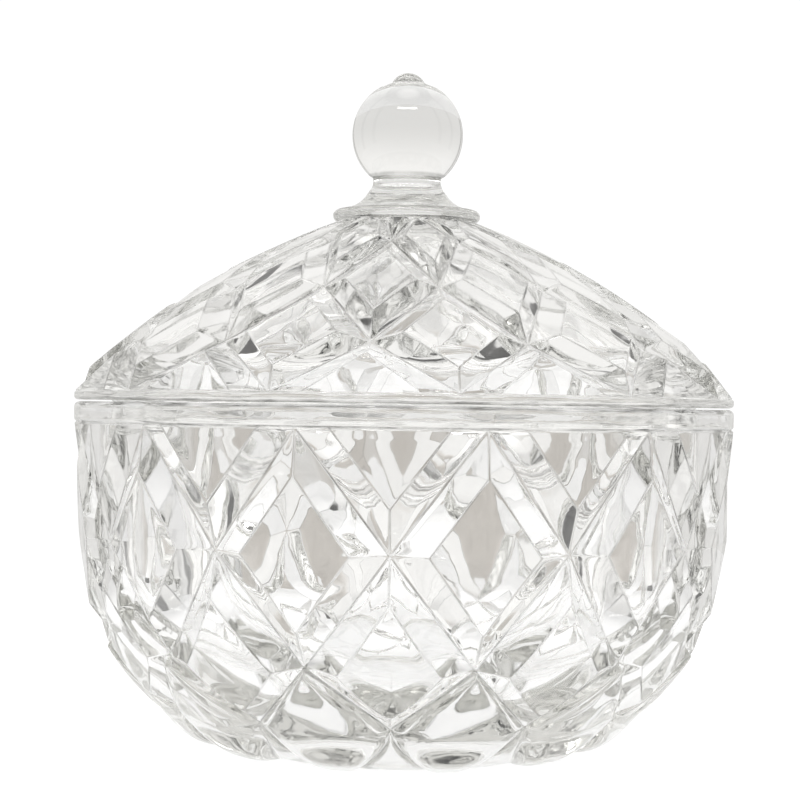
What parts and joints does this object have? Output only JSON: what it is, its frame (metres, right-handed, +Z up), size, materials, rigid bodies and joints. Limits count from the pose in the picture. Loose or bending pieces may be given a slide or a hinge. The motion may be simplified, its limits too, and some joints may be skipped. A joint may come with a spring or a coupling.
{
  "type": "powder jar",
  "caption": "Covered powder jar in pressed clear glass: a round bowl cut with diamonds and a domed lid with a ball knob that lifts off.",
  "frame": {"origin": "centre of the bowl's flat base", "axes": "+Z up the jar's axis, -Y the front, +X to the right seen from the front"},
  "size_m": [0.13, 0.13, 0.1344],
  "materials": {
    "bowl_glass": "fire-polished pressed glass, clear with a faint grey-green tone",
    "lid_glass": "fire-polished pressed glass, clear with a faint grey-green tone"
  },
  "bodies": {
    "bowl": {"bowl": "bowl_glass"},
    "lid": {"lid": "lid_glass"}
  },
  "joints": [
    {"name": "lid_lift", "type": "slide", "parent": "bowl", "child": "lid", "axis": [0, 0, 1], "range_m": [0, 0.08]}
  ]
}
